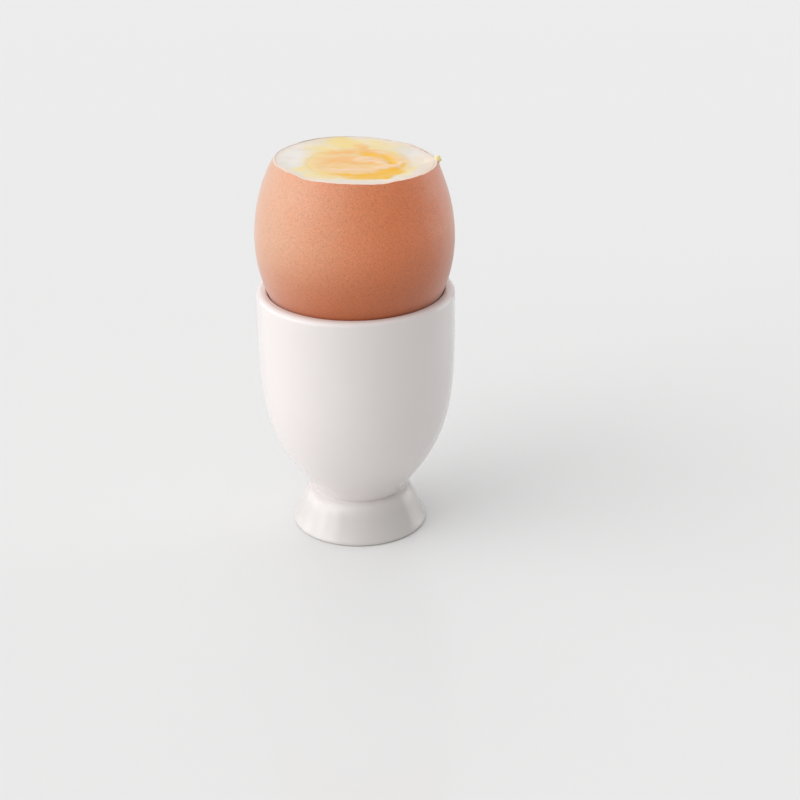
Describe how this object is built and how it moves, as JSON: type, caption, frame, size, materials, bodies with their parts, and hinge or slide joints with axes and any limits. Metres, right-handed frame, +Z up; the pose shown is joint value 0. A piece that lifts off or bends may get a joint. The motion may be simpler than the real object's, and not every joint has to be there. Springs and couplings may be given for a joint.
{
  "type": "boiled egg in egg cup",
  "caption": "Brown soft-boiled egg with its pointed tip cut off, showing white and creamy yolk, seated in a white footed porcelain egg cup.",
  "frame": {"origin": "centre of the underside of the cup's foot, on the surface it stands on", "axes": "+Z up along the axis of the cup and the egg; -Y towards the side that the picture shows"},
  "size_m": [0.0452, 0.0452, 0.0891],
  "materials": {
    "porcelain": "gloss",
    "eggshell": "matte",
    "egg_white": "satin",
    "egg_yolk": "satin"
  },
  "bodies": {
    "root": {"egg_cup": "porcelain", "eggshell": "eggshell", "egg_white": "egg_white", "egg_yolk": "egg_yolk"}
  },
  "joints": []
}
